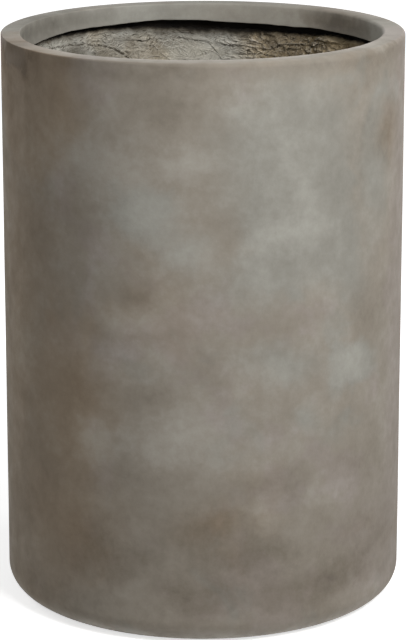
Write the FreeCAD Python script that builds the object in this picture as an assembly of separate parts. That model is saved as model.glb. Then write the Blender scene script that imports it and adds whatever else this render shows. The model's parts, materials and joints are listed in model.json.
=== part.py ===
"""A tall round floor planter in fibre cement, laid up the way the real one is.

A smooth face coat is cast first: it makes the outer wall, the flat rim, the lip that turns down inside the
rim, and the foot. Mortar fills the hook of the rim. Four sheets of cement-soaked glass-fibre mat line the
wall, each lapping over the next, a slab makes the floor, and a cove of mortar joins floor and wall. A rubber
stopper closes the drain.

Millimetres, +Z up. The origin is the centre of the circle that the planter stands on.
"""

import FreeCAD, Part
import math
import os

# Overall size
OUTER_DIAMETER = 400.0
HEIGHT = 571.0

# Face coat
SKIN = 3.0
RIM_WIDTH = 20.0
LIP_DEPTH = 20.0
RIM_OUTER_ROUND = 4.0
RIM_INNER_ROUND = 3.5
LIP_EDGE_ROUND = 1.0
BOTTOM_EDGE_ROUND = 24.0

# Foot: a flat ring round a shallow hollow, whose wall slopes in
FOOT_WIDTH = 44.0
FOOT_HOLLOW = 6.0
FOOT_SLOPE_DEG = 45.0

# Wall mats, which stop short of the lip
MAT = 5.0
MAT_SETDOWN = 9.0
MAT_NAMES = ("right", "back", "left", "front")
LAP = 34.0
LAP_FEATHER = 9.0
LAP_STEP = 6.0
LAP_RAMP = 12.0

# Floor
SLAB = 20.0
COVE = 30.0
COVE_EDGE = 1.5

# Drain and its stopper
DRAIN_DIAMETER = 30.0
PLUG_CLEARANCE = 0.3
PLUG_RIBS = 3
PLUG_RIB_DEPTH = 1.2
PLUG_NOSE_ROUND = 1.5
PLUG_NOSE_INSET = 1.0
PLUG_HEAD = 5.0
PLUG_HEAD_LEDGE = 8.0
PLUG_HEAD_ROUND = 2.0
PLUG_GRIP_DIAMETER = 14.0
PLUG_GRIP_HEIGHT = 9.0
PLUG_GRIP_ROUND = 3.0
PLUG_GRIP_FILLET = 2.0

# Radii and levels that follow from the sizes above
wall_outside = OUTER_DIAMETER / 2
skin_inside = wall_outside - SKIN
mouth_radius = wall_outside - RIM_WIDTH
lip_back = mouth_radius + SKIN
lip_bottom = HEIGHT - LIP_DEPTH
mat_top = lip_bottom - MAT_SETDOWN
rim_underside = HEIGHT - SKIN
bottom_inside_round = BOTTOM_EDGE_ROUND - SKIN
mat_inside = skin_inside - MAT
lap_inside = mat_inside - MAT
drain_radius = DRAIN_DIAMETER / 2
hollow_floor = FOOT_HOLLOW + SKIN
floor_top = hollow_floor + SLAB

ORIGIN = FreeCAD.Vector(0, 0, 0)
UP = FreeCAD.Vector(0, 0, 1)


def rounded_outline(corners):
    """A closed wire in the XZ plane through corners (radius, height, rounding), rounded ones as arcs."""
    points = [FreeCAD.Vector(r, 0, z) for r, z, _ in corners]
    count = len(points)
    edges = []
    last_end = None
    first_start = None
    for i, (_, _, rounding) in enumerate(corners):
        corner = points[i]
        to_before = (points[i - 1] - corner).normalize()
        to_after = (points[(i + 1) % count] - corner).normalize()
        start = end = corner
        if rounding > 0:
            half_angle = to_before.getAngle(to_after) / 2
            setback = rounding / math.tan(half_angle)
            start = corner + to_before * setback
            end = corner + to_after * setback
            inwards = (to_before + to_after).normalize()
            middle = corner + inwards * (rounding / math.sin(half_angle) - rounding)
        if last_end is not None:
            edges.append(Part.LineSegment(last_end, start).toShape())
        else:
            first_start = start
        if rounding > 0:
            edges.append(Part.Arc(start, middle, end).toShape())
        last_end = end
    edges.append(Part.LineSegment(last_end, first_start).toShape())
    return Part.Wire(edges)


def turned(corners):
    """The solid made by turning an outline of corners (radius, height, rounding) about the Z axis."""
    return Part.Face(rounded_outline(corners)).revolve(ORIGIN, UP, 360)


def bottom_steps(lift):
    """The foot's corners, raised by lift, from the drain outwards: hollow, slope and standing ring."""
    slope = math.radians(FOOT_SLOPE_DEG)
    slope_run = FOOT_HOLLOW / math.tan(slope)
    offset = lift * math.tan(slope / 2)
    ring_inside = wall_outside - FOOT_WIDTH - offset
    return [
        (drain_radius, FOOT_HOLLOW + lift, 0),
        (ring_inside - slope_run, FOOT_HOLLOW + lift, 0),
        (ring_inside, lift, 0),
    ]


def make_face_skin():
    """The face coat: one shell from the drain hole, over the foot, up the wall and down inside the rim."""
    outside = bottom_steps(0) + [
        (wall_outside, 0, BOTTOM_EDGE_ROUND),
        (wall_outside, HEIGHT, RIM_OUTER_ROUND),
        (mouth_radius, HEIGHT, RIM_INNER_ROUND),
        (mouth_radius, lip_bottom, LIP_EDGE_ROUND),
    ]
    inside = [
        (lip_back, lip_bottom, 0),
        (lip_back, rim_underside, 0),
        (skin_inside, rim_underside, 0),
        (skin_inside, SKIN, bottom_inside_round),
    ]
    return turned(outside + inside + bottom_steps(SKIN)[::-1])


def make_rim_core():
    """The mortar that fills the hook of the rim, level with the lip's lower edge."""
    return turned([
        (lip_back, lip_bottom, 0),
        (skin_inside, lip_bottom, 0),
        (skin_inside, rim_underside, 0),
        (lip_back, rim_underside, 0),
    ])


def make_base_slab():
    """The floor, laid on the skin's bottom and filling the foot and the round of the edge."""
    return turned(bottom_steps(SKIN) + [
        (skin_inside, SKIN, bottom_inside_round),
        (skin_inside, floor_top, 0),
        (drain_radius, floor_top, 0),
    ])


def around(radius, angle):
    """The point at a radius and an angle, at the floor's level."""
    return FreeCAD.Vector(radius * math.cos(angle), radius * math.sin(angle), floor_top)


def arc_between(radius, start, end):
    """An arc about the Z axis at the floor's level."""
    return Part.Arc(around(radius, start), around(radius, (start + end) / 2), around(radius, end)).toShape()


def make_wall_mat(start):
    """One sheet of the lining: it lies on the skin for its share, then steps in and laps over the next."""
    end = start + 2 * math.pi / len(MAT_NAMES)
    lap_end = end + LAP / mat_inside
    feather = lap_end - LAP_FEATHER / lap_inside
    step_top = end - LAP_STEP / lap_inside
    step_foot = step_top - LAP_RAMP / mat_inside
    outline = Part.Wire([
        arc_between(skin_inside, start, end),
        Part.LineSegment(around(skin_inside, end), around(mat_inside, end)).toShape(),
        arc_between(mat_inside, end, lap_end),
        Part.LineSegment(around(mat_inside, lap_end), around(lap_inside, feather)).toShape(),
        arc_between(lap_inside, feather, step_top),
        Part.LineSegment(around(lap_inside, step_top), around(mat_inside, step_foot)).toShape(),
        arc_between(mat_inside, step_foot, start),
        Part.LineSegment(around(mat_inside, start), around(skin_inside, start)).toShape(),
    ])
    return Part.Face(outline).extrude(UP * (mat_top - floor_top))


def make_corner_cove(mats):
    """The mortar fillet between floor and wall, hollow in section, that fills round the mats' laps."""
    toe = mat_inside - COVE
    crest = floor_top + COVE
    hollow_radius = COVE - COVE_EDGE
    middle = FreeCAD.Vector(toe, 0, crest) + FreeCAD.Vector(1, 0, -1).normalize() * hollow_radius
    toe_edge = FreeCAD.Vector(toe, 0, floor_top + COVE_EDGE)
    crest_edge = FreeCAD.Vector(mat_inside - COVE_EDGE, 0, crest)
    corners = [
        crest_edge,
        FreeCAD.Vector(mat_inside, 0, crest),
        FreeCAD.Vector(mat_inside, 0, floor_top),
        FreeCAD.Vector(toe, 0, floor_top),
        toe_edge,
    ]
    edges = [Part.LineSegment(a, b).toShape() for a, b in zip(corners, corners[1:])]
    edges.append(Part.Arc(toe_edge, middle, crest_edge).toShape())
    ring = Part.Face(Part.Wire(edges)).revolve(ORIGIN, UP, 360)
    return ring.cut(Part.makeCompound(mats))


def make_drain_plug():
    """The rubber stopper: a stem with wiper ribs, a head that rests on the floor, and a grip."""
    rib_radius = drain_radius - PLUG_CLEARANCE
    stem_radius = rib_radius - PLUG_RIB_DEPTH
    head_radius = drain_radius + PLUG_HEAD_LEDGE
    head_top = floor_top + PLUG_HEAD
    grip_radius = PLUG_GRIP_DIAMETER / 2
    grip_top = head_top + PLUG_GRIP_HEIGHT
    nose = FOOT_HOLLOW + PLUG_NOSE_INSET
    ribs_start = nose + PLUG_NOSE_ROUND
    rib_pitch = (floor_top - ribs_start) / PLUG_RIBS
    corners = [(0, nose, 0), (stem_radius, nose, PLUG_NOSE_ROUND)]
    for i in range(PLUG_RIBS):
        rib_foot = ribs_start + rib_pitch * (i + 0.25)
        rib_crest = rib_foot + rib_pitch / 2
        corners += [(stem_radius, rib_foot, 0), (rib_radius, rib_crest, 0), (stem_radius, rib_crest, 0)]
    corners += [
        (stem_radius, floor_top, 0),
        (head_radius, floor_top, 0),
        (head_radius, head_top, PLUG_HEAD_ROUND),
        (grip_radius, head_top, PLUG_GRIP_FILLET),
        (grip_radius, grip_top, PLUG_GRIP_ROUND),
        (0, grip_top, 0),
    ]
    return turned(corners)


def main():
    pitch = 2 * math.pi / len(MAT_NAMES)
    mats = {f"wall_mat_{name}": make_wall_mat((i - 0.5) * pitch) for i, name in enumerate(MAT_NAMES)}
    nodes = {
        "face_skin": make_face_skin(),
        "rim_core": make_rim_core(),
        "base_slab": make_base_slab(),
        **mats,
        "corner_cove": make_corner_cove(list(mats.values())),
        "drain_plug": make_drain_plug(),
    }
    os.makedirs("parts", exist_ok=True)
    for name, shape in nodes.items():
        shape.exportStep(f"parts/{name}.step")


main()
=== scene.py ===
import json
import math

import bpy
import numpy as np
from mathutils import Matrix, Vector


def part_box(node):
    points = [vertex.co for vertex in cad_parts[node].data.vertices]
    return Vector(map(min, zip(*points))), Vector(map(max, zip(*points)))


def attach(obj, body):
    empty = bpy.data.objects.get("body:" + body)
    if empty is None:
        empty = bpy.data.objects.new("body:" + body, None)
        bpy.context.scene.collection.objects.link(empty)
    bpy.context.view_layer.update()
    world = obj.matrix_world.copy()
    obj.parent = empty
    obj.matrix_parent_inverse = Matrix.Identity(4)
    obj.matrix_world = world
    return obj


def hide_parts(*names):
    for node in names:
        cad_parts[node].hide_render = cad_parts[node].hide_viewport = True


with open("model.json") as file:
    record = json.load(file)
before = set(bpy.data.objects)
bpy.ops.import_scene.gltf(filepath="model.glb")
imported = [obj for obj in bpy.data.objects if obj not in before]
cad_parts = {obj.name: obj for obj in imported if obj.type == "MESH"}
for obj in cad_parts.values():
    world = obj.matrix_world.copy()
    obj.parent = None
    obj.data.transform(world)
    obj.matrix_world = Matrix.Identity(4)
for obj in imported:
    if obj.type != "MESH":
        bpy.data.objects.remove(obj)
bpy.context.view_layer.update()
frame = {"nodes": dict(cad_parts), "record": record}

# Millimetres up to the meshes; angles are anticlockwise from the right unless a comment says otherwise
MM = 0.001


def span(node):
    """How far a CAD node reaches from the axis, and its lowest and highest level."""
    low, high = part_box(node)
    return high[0] / MM, low[2] / MM, high[2] / MM


# Sizes from the frame
wall_outside, _, rim_top = span("face_skin")
skin_inside, _, rim_underside = span("rim_core")
mat_inside, floor_top, cove_crest = span("corner_cove")
mat_top = span("wall_mat_back")[2]
mouth_radius = next(m["dims"]["r_mm"] for m in frame["record"]["mounts"] if m["name"] == "mouth")
skin = wall_outside - skin_inside
cove = cove_crest - floor_top

# Face coat: roundings, the hand-made mouth's narrowing and shift, rows of the lip, knife marks and sway
RIM_INNER_ROUND = 2.2
RIM_INNER_SWING = 1
MOUTH_NARROW = 0.75
MOUTH_SHIFT = 1.75
LIP_EDGE_ROUND = 1
LIP_ROWS = (7, 10, 13)
KNIFE_MARK = 0.4
KNIFE_STROKE_DEG = 3.1
BOTTOM_EDGE_ROUND = 24
WALL_SWAY = 0.3
WALL_SWAY_LENGTH = 140

# Foot: a flat ring round a shallow hollow, whose wall slopes in
FOOT_WIDTH = 44
FOOT_HOLLOW = 6
FOOT_SLOPE_DEG = 45
DRAIN_RADIUS = 15

# Painted light on the foot's round. Wear of the lip's edge and the rim's inner edge: even, to the right, to
# the back and least
FOOT_PAINTED_LIGHT = 0.9
LIP_EDGE_WEAR = 0.2
INNER_WEAR = (0.25, 0.25, -1.1, 0.1)

# Points round the turned pieces and along their sections
COAT_SEGMENTS = 288
FLOOR_SEGMENTS = 240
COAT_ROWS = 48
FOOT_STEPS = 16
FOOT_INSIDE_STEPS = 10
RIM_OUTER_STEPS = 8
RIM_INNER_STEPS = 7
LIP_EDGE_STEPS = 4
SLAB_STEPS = 60
COVE_STEPS = 16

# Mortar: the fill's setback, where the floor turns uneven round the drain, and how far the cove is sunk in
FILL_SETBACK = 1.5
EVEN_ROUND_DRAIN = (8, 22)
COVE_IN_WALL = 1
COVE_IN_FLOOR = 2

# The rim's outer edge was rubbed round by hand: (angle, radius)
RIM_OUTER_ROUND = (
    (0, 3.5), (90, 3.5), (135, 2), (180, 1.2), (210, 1.2), (235, 1.8), (248, 2.5), (258, 3.3), (266, 4.2),
    (275, 5), (295, 6), (320, 6.5), (340, 5), (360, 3.5),
)

# How worn the outer part of the rim is: (angle, wear)
RIM_WEAR = (
    (0, 0.12), (15, 0.4), (30, 0.75), (48, 0.75), (58, 0.3), (70, 0.05), (90, 0.1), (105, 0.4),
    (135, 0.55), (150, 0.75), (165, 0.5), (180, 0.25), (195, 0.22), (210, 0.4), (270, 0.35), (315, 0.17),
    (360, 0.12),
)

# The rim's top isn't quite level: (angle, height)
RIM_LEVEL = (
    (0, 0.6), (45, 0.4), (90, 0), (135, -0.3), (180, -0.9), (205, -1.7), (230, -1.4), (250, -0.6),
    (270, 0), (300, 0.2), (330, 0.3), (360, 0.6),
)

# The lip was trimmed by hand: (angle, depth)
LIP_TRIM = (
    (0, 20.8), (24, 21.2), (38, 21.2), (50, 20.1), (55, 20.7), (58, 21.3), (70, 20.4), (80, 20.2),
    (87, 19.2), (89, 18.6), (104, 17.2), (112, 18.3), (123, 19.6), (131, 19.9), (139, 20.5), (149, 22.6),
    (158, 24.6), (180, 23.5), (205, 20.4), (240, 19), (278, 20.8), (310, 18.6), (338, 19.3), (360, 20.8),
)

# The level that the lists below measure levels from
DATUM = 6

# The lining's upper edge was torn by hand: (angle, level)
MAT_TRIM = (
    (0, 536.5), (34, 536.4), (46, 537.8), (58, 535.8), (78, 535.8), (91, 536.2), (104, 539), (117, 540.8),
    (132, 540.6), (141, 540), (150, 538.6), (158, 537.5), (190, 536), (235, 534.5), (280, 536.5),
    (325, 535), (360, 536.5),
)

# How far the painted shadow of the lip runs down the lining: (angle, depth)
LIP_SHADOW_TRIM = (
    (0, 6), (34, 4), (40, 3), (48, 1.5), (56, 5), (69, 8), (80, 14), (100, 15), (113, 10), (125, 7),
    (133, 9), (142, 10), (158, 10), (200, 8), (250, 12), (300, 9), (360, 6),
)

# Mats of the lining: the turn that each covers, and how far its back is off the skin or, in its lap, sunk in
SIDES = ("right", "back", "left", "front")
MAT_TURN_DEG = 360 / len(SIDES)
MAT_TURN = math.radians(MAT_TURN_DEG)
MAT_BACK_GAP = 0.2
LAP_BACK_SINK = 1

# Laps of the mats: width, rise, lengths of their ramps, and how much narrower they are low down
LAP = 34
LAP_RISE = 2.8
LAP_FEATHER = 22
LAP_RAMP = 18
LAP_LEAN = 16
LAP_LEAN_REACH = 64

# Torn scraps of mat: (angle, level, half width in degrees, half height, thickness, raggedness)
SCRAPS = (
    (140, 500, 26, 28, 1.5, 0), (72, 482, 17, 28, 1.2, 0.1), (20, 505, 16, 26, 1.4, 0.9),
    (215, 498, 22, 32, 1.4, 0.9), (262, 470, 16, 40, 1.3, 0.8), (310, 506, 20, 24, 1.5, 0.9),
    (100, 400, 24, 40, 1.3, 0.8), (180, 360, 30, 36, 1.4, 0.9), (240, 300, 22, 46, 1.4, 0.8),
    (330, 330, 26, 40, 1.3, 0.8), (40, 280, 24, 44, 1.4, 0.9), (130, 190, 28, 40, 1.4, 0.8),
    (290, 160, 30, 36, 1.3, 0.8),
)
SCRAP_LOOSEST = 0.9

# Folds, and grooves that don't rise but drop: three (angle, level) points of a curve, rise and half width
FOLDS = (
    ((94.1, 526.4), (89.6, 525.5), (86.4, 520.8), 1.6, 1.4),
    ((86.4, 521.5), (80.6, 522), (72.8, 518.6), 2, 1.5), ((82, 523), (76, 523), (72, 519.6), -0.9, 0.8),
    ((72.8, 517.4), (69.4, 518), (62.2, 525.2), 1.8, 1.4),
    ((83.2, 510.9), (81, 516.9), (76.1, 514.8), -0.9, 0.8),
    ((89.8, 505.7), (88.3, 510.7), (86.7, 514.7), -0.8, 0.7),
    ((86.7, 514.7), (85.8, 510.8), (84.3, 506.5), -0.8, 0.7),
    ((76.1, 525.6), (73.5, 526.2), (70.8, 522.6), 1.7, 1.3),
    ((62.2, 523), (57.9, 525.2), (53.4, 526.2), 1.2, 1.1),
    ((63.3, 518.3), (60.4, 520.3), (56.8, 520.6), 1.2, 1.1),
    ((53.4, 527.9), (51.9, 531.3), (48.7, 529.5), -1, 0.9),
    ((52.4, 525.2), (51.6, 526.8), (50.6, 525.6), 2.4, 1.6),
    ((49.6, 531.6), (45.5, 533.4), (41.3, 532.4), 3.2, 2),
    ((41.3, 530.2), (37.9, 534.1), (33.4, 532.4), 2, 1.4),
    ((41.1, 527), (38.8, 530.5), (36.4, 530), 1.6, 1.2),
    ((97.9, 534.4), (95.4, 535.6), (92.2, 532.6), 1.6, 1.3),
    ((98.6, 529.6), (96, 527.8), (94.1, 525.2), 1.3, 1.2),
    ((113.8, 528.6), (111.1, 527), (108.4, 525.5), 1.3, 1.2), ((30, 522), (23, 527), (16, 528), 2.2, 2),
    ((168, 530), (161, 529.5), (154, 527), 1.6, 1.8), ((205, 525), (218, 525), (232, 519), 2, 2),
    ((255, 527), (266, 528), (278, 522), 2.2, 1.8), ((296, 518), (307, 525), (318, 526), 2, 2),
    ((338, 527), (345, 525), (352, 520), 2.2, 1.8), ((190, 500), (201, 508), (214, 503), 1.8, 1.6),
    ((60, 470), (72, 480), (88, 474), 1.8, 1.8), ((270, 460), (281, 452), (296, 456), 1.8, 1.8),
    ((20, 440), (31, 430), (48, 436), 1.8, 1.8),
)
FOLD_STEPS = 7
# How far below a fold its painted shadow lies, and how wide the painted shade of folds and grooves is
FOLD_SHADE_DROP = 1.4
FOLD_SHADE_WIDTH = 0.9

# Calm places where the mat was rubbed smooth: (angle, level, half width in degrees, half height)
CALM_PLACES = (
    (98, 514, 10, 14), (133, 513, 13, 14), (178, 505, 16, 20), (268, 500, 15, 22), (325, 490, 12, 20),
)
CALM_SHARE = 0.45

# Places where the mat was crumpled most: (angle, level, half width in degrees, half height, gain)
CRUMPLED_PLACES = (
    (60, 520, 24, 22, 1.1), (117, 525, 16, 15, 0.8), (20, 500, 20, 30, 0.8), (230, 505, 24, 26, 0.8),
    (300, 500, 24, 26, 0.8),
)
BEND = 9
BEND_LENGTH = 38

# Layers of noise in what was laid or torn by hand and in the edge of the lip's painted shadow: (height,
# length along, length across, seed)
TROWEL_MARKS = ((1.1, 55, 55, 0), (0.5, 15, 21, 1), (0.25, 5, 5, 2))
SCRAP_RAGGED = ((0.1, 4, 12, 71), (0.03, 0.9, 3, 72))
SCRAP_TORN = ((1.3, 11, 27, 76), (0.5, 4, 10, 77))
FOLD_WOBBLE = ((1.3, 2, 6, 73), (0.7, 0.8, 3, 75))
LAP_TORN = ((11, 55, 1, 20), (4, 13, 1, 21))
LIP_SHADOW_RAGGED = ((1.5, 1.6, 7, 40), (3, 5, 20, 41))

# Long strands that lie where the photo shows them: three (angle, level) points and a half width
LAID_STRANDS = (
    ((83.2, 510.2), (79.3, 522), (75.7, 508.6), 0.6), ((88.3, 523), (86.4, 515.2), (84.1, 506.8), 0.45),
    ((89.8, 506.7), (88, 510.3), (86.6, 514.8), 0.45),
    ((86.7, 523.2), (82.2, 521.2), (78.3, 516.3), 0.55), ((83.2, 527.1), (78, 521.7), (71.7, 522), 0.6),
    ((95.7, 527.2), (92.5, 524.2), (89.6, 524.7), 0.55), ((98.3, 533), (95.4, 534), (93.1, 531.8), 0.5),
    ((69, 519.9), (62.8, 524.9), (53.2, 526), 0.6), ((53.2, 529.1), (52.1, 525.8), (50.9, 527.9), 0.55),
    ((49, 532.5), (45.6, 533.4), (41.7, 532.2), 0.7), ((40.8, 530), (38.5, 533.1), (35, 533.5), 0.6),
    ((130.5, 534.1), (126.6, 536), (119.2, 538), 0.5),
    ((141.3, 535.1), (135.9, 537.1), (129.3, 538.6), 0.5),
    ((118.1, 527.3), (113.9, 529), (107.2, 525), 0.5),
    ((107.6, 506.4), (105.4, 510.2), (102.6, 505.8), 0.55),
    ((104.6, 504.8), (102.4, 508.6), (100, 507.4), 0.5),
    ((106.8, 503.6), (104.4, 505.2), (101.8, 503.2), 0.55),
    ((84.6, 503.4), (82, 506), (79.2, 503.8), 0.5),
)
LAID_LIFT = 0.9

# Chopped strands drawn at random: (count, lowest level, lengths, half widths), their heading and its spread,
# the spread of their bend, and how far they arch, lie off and sink in
CHOPPED_STRANDS = ((700, 470, (5, 18), (0.28, 0.52)), (260, 40, (12, 32), (0.35, 0.6)))
STRAND_HEADING = (-0.4, 0.75)
STRAND_BEND = 0.9
STRAND_ARCH = 1.2
STRAND_LIFT = 0.1
STRAND_SINK = 0.7
STRAND_FLATNESS = 0.75
STRAND_STEPS = 8
STRAND_PLACES = np.linspace(-1, 1, STRAND_STEPS)
STRAND_SIDES = 5

# Points of a mat, closer in its upper part, and the relief that counts as full or as a strand's
MAT_COLUMNS = 240
MAT_LOW_ROWS = 104
MAT_HIGH_ROWS = 62
MAT_BACK_STEP = 6
HIGH_ROWS_FROM = 0.86
FULL_RELIEF = 5
STRAND_RELIEF = 3

# Angles from which edges stay sharp on turned pieces and on mats
SHARP_DEG = 40
MAT_SHARP_DEG = 60

# Paler and darker clouds of the face: (angle from the front to the right, level, half width, half height,
# strength)
TONE_CLOUDS = (
    (-26, 530, 14, 15, 0.14), (10, 522, 32, 18, 0.14), (-37, 466, 50, 26, 0.17), (-18, 419, 32, 19, 0.28),
    (-2, 470, 26, 14, 0.16), (-5, 383, 23, 15, 0.17), (30, 410, 20, 19, 0.2), (20, 395, 22, 15, 0.19),
    (-19, 317, 26, 13, 0.2), (-61, 268, 28, 20, 0.17), (16, 264, 31, 18, 0.12), (45, 262, 28, 13, 0.2),
    (-30, 194, 26, 17, 0.22), (-5, 202, 38, 24, 0.2), (38, 138, 31, 15, 0.14), (18, 124, 16, 14, 0.14),
    (-58, 64, 24, 24, 0.17), (-24, 35, 44, 15, 0.14), (25, 470, 40, 30, 0.06), (-3, 553, 26, 14, 0.2),
    (14, 555, 28, 14, 0.14), (26, 438, 14, 14, 0.12), (-8, 492, 26, 16, 0.16), (-18, 459, 28, 14, 0.17),
    (15, 331, 34, 30, 0.1), (-12, 272, 40, 14, 0.1), (-23, 99, 16, 12, 0.12), (10, 320, 90, 110, 0.05),
    (42, 471, 30, 40, -0.14), (-24, 198, 8, 8, -0.12), (4, 28, 16, 10, -0.12), (-70, 513, 18, 36, -0.26),
    # Painted light: the paler clouds at levels 566 to 568 brighten the rim's top; painted shade: the darker
    # ones at 545 to 551 darken the wall just under the rim
    (85, 566, 30, 12, 0.3), (-88, 566, 34, 10, 0.22), (64, 568, 30, 6, 0.3), (-16, 568, 60, 6, 0.08),
    (60, 545, 50, 16, -0.08), (-5, 550, 50, 12, -0.05), (-68, 551, 30, 12, -0.5),
    (-28, 362, 22, 22, 0.13), (-26, 48, 14, 12, 0.12), (-8, 32, 9, 9, 0.12), (-44, 385, 16, 20, 0.08),
    (-24, 222, 10, 9, 0.1), (-79, 290, 12, 130, -0.13), (58, 14, 34, 12, 0.22), (44, 108, 16, 14, -0.06),
    (18, 15, 26, 8, 0.13), (28, 202, 18, 18, 0.1), (66, 185, 16, 22, 0.1), (-62, 548, 32, 12, -0.32),
    (-6, 525, 42, 30, -0.22), (-42, 535, 40, 20, -0.1), (63, 481, 34, 23, -0.26),
    (55, 534, 44, 15, -0.13), (7, 397, 15, 23, -0.11), (-37, 403, 15, 30, -0.06),
    (-20, 346, 22, 15, -0.22), (-37, 319, 24, 28, -0.12), (54, 313, 24, 23, -0.22),
    (18, 317, 38, 18, -0.13), (-1, 271, 17, 15, -0.12), (-15, 242, 20, 13, -0.2),
    (-36, 240, 30, 17, -0.16), (19, 154, 32, 13, -0.17), (2, 112, 42, 24, -0.26), (15, 84, 27, 13, -0.22),
    (-1, 51, 27, 15, -0.24), (40, 46, 25, 17, -0.29), (-30, 88, 31, 30, -0.17), (-15, 160, 60, 13, -0.13),
    (53, 68, 48, 20, -0.16), (53, 167, 33, 20, -0.1), (25, 44, 23, 15, -0.13),
)

# The same on the lip's inside, with darker places that stop at the rim's top
LIP_CLOUDS = (
    (156, 555, 26, 14, 0.1), (176, 556, 50, 12, 0.06), (96, 555, 24, 14, 0.7), (-156, 556, 24, 12, 0.12),
    (141, 547, 16, 5, 0.32), (156, 547, 14, 5, 0.18),
)
LIP_SHADES = (
    (131, 553, 24, 18, -0.55), (-146, 555, 34, 14, -0.22), (-118, 552, 46, 16, -0.24),
    (118, 552, 22, 18, -0.3), (-96, 553, 26, 16, -0.35),
)

# Places where the face is cooler, browner and rosier
COOL_CLOUDS = (
    (-18, 419, 32, 21, 0.8), (-5, 383, 24, 16, 0.4), (26, 470, 66, 74, 0.75), (30, 405, 42, 40, 0.6),
    (49, 264, 28, 15, 0.7), (22, 275, 44, 18, 0.5), (15, 352, 34, 22, 0.6), (44, 356, 28, 40, 0.5),
    (43, 248, 20, 16, 0.5), (29, 218, 18, 14, 0.5), (57, 450, 18, 60, 0.6), (180, 550, 200, 24, 0.6),
    (40, 196, 26, 14, 0.3), (-112, 554, 80, 22, 0.9),
)
BROWN_CLOUDS = (
    (-64, 300, 74, 320, 0.55), (-54, 525, 60, 50, 0.6), (-70, 534, 46, 16, 0.9), (-38, 235, 40, 50, 0.45),
    (-38, 110, 50, 60, 0.4), (3, 112, 42, 22, 0.3), (64, 480, 34, 24, 0.3), (-20, 330, 60, 200, 0.06),
)
LIP_BROWN = ((128, 556, 60, 30, 0.25), (165, 556, 60, 20, 0.16))
ROSY_CLOUDS = (
    (76, 290, 34, 300, 0.7), (55, 60, 40, 60, 0.5), (12, 40, 60, 30, 0.4), (88, 562, 30, 20, 0.6),
    (-82, 562, 40, 22, 0.6), (-76, 400, 24, 240, 0.3),
)

# Paler, darker and soiled places of the lining
LINING_CLOUDS = (
    (-142, 512, 40, 16, -0.2), (190, 508, 34, 16, 0.1), (180, 512, 26, 16, 0.2),
    (151, 516, 34, 26, -0.25), (-156, 524, 28, 18, -0.18), (127, 530, 20, 20, 0.3),
    (-134, 520, 14, 14, -0.26), (158, 527, 10, 8, -0.2), (130, 528, 14, 10, 0.2), (136, 531, 10, 6, 0.3),
    (127, 533, 9, 6, 0.45), (-152, 519, 9, 6, 0.2), (-167, 506, 16, 7, 0.14), (-167, 530, 8, 5, -0.2),
    (20, 300, 90, 80, -0.2), (-70, 250, 90, 80, 0.2), (150, 200, 90, 80, -0.2),
)
SOILED_CLOUDS = (
    (144, 522, 62, 60, 0.9), (122, 525, 40, 50, 0.4), (-127, 515, 44, 34, 0.12), (100, 420, 120, 70, 0.6),
    (-60, 440, 80, 60, 0.6), (20, 380, 120, 80, 0.5),
)

# How far a cloud reaches for its size, how deep it is, its gain, and how far its outline drifts, in metres
CLOUD_REACH = 1.75
CLOUD_DEPTH = 40
CLOUD_GAIN = 1.6
CLOUD_DRIFT = (0.06, 0.06, 0.06)

# The face's tone: scale and depth of its mottling, the shade under the rim (from, to, strength) and above the
# floor (height, strength), and how tone turns into a place on the ramps
MOTTLING = ((34, 0.62), (110, 0.46), (420, 0.14))
UNDER_RIM = (24, 6, -0.3)
NEAR_FLOOR = (220, -0.3)
FACE_CONTRAST = 0.8
FACE_MIDDLE = 0.6

# The face's ramps: (place, brightness, which hue), and the hues of each, as red and blue shares of green
FACE_STOPS = ((0, 0.125, 0), (0.2, 0.176, 0), (0.6, 0.264, 1), (0.92, 0.355, 2))
FACE_HUES = {
    "warm": ((1.16, 0.79), (1.12, 0.83), (1.07, 0.87)),
    "rosy": ((1.18, 0.81), (1.14, 0.87), (1.11, 0.91)),
    "cool": ((1.07, 0.845), (1.045, 0.87), (1.03, 0.885)),
    "brown": ((1.31, 0.69), (1.25, 0.73), (1.18, 0.78)),
}
# What is laid over the warm ramp: its clouds, a noise, the noise's range and most, and the range of the sum
HUE_LAYERS = (
    ("rosy", ROSY_CLOUDS, (13, 4, 0.6), (0.5, 0.66, 0, 0.8), (0, 0.9)),
    ("cool", COOL_CLOUDS, (15, 4, 0.55, 0.6), (0.54, 0.72, 0, 0.5), (0.05, 0.8)),
    ("brown", BROWN_CLOUDS, (6, 4, 0.55, 0.4), (0.56, 0.7, 0, 0.3), (0.05, 0.9)),
)
CEMENT_SPECULAR = 0.25

# Camera, from the outline of the planter in the photo; places of the stage are in metres
CAMERA_DISTANCE = 2.75207
CAMERA_HEIGHT = 1.00304
CAMERA_PITCH_DEG = 13.5361
CAMERA_LENS = 157.799
CAMERA_SENSOR = 36
CAMERA_SHIFT_Y = -0.1

# Lights (name, place, power), the light of the surroundings, and the floor: its grey, the duller grey that it
# reflects away from the planter, and its glow where the camera sees it, from near to far
LIGHTS = (
    ("key", (0.655, -1.135, 1.324), 20.5),
    ("left_back", (-1.302, 0.752, 0.953), 4.5),
    ("right_side", (1.453, 0.389, 0.953), 5.5),
)
LIGHT_TARGET = (0, 0, 0.406)
LIGHT_SIZE = 0.56
WORLD_LIGHT = 0.22
FLOOR_HALF = 9
FLOOR_LEVEL = -0.0005
FLOOR_GREY = 0.8
FLOOR_DULL = 0.35
FLOOR_ROUGHNESS = 0.9
DULL_FROM = (0.22, 0.36)
GLOW_FROM = (0.25, 1)
GLOW = (0.66, 1)


# Shapes

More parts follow.
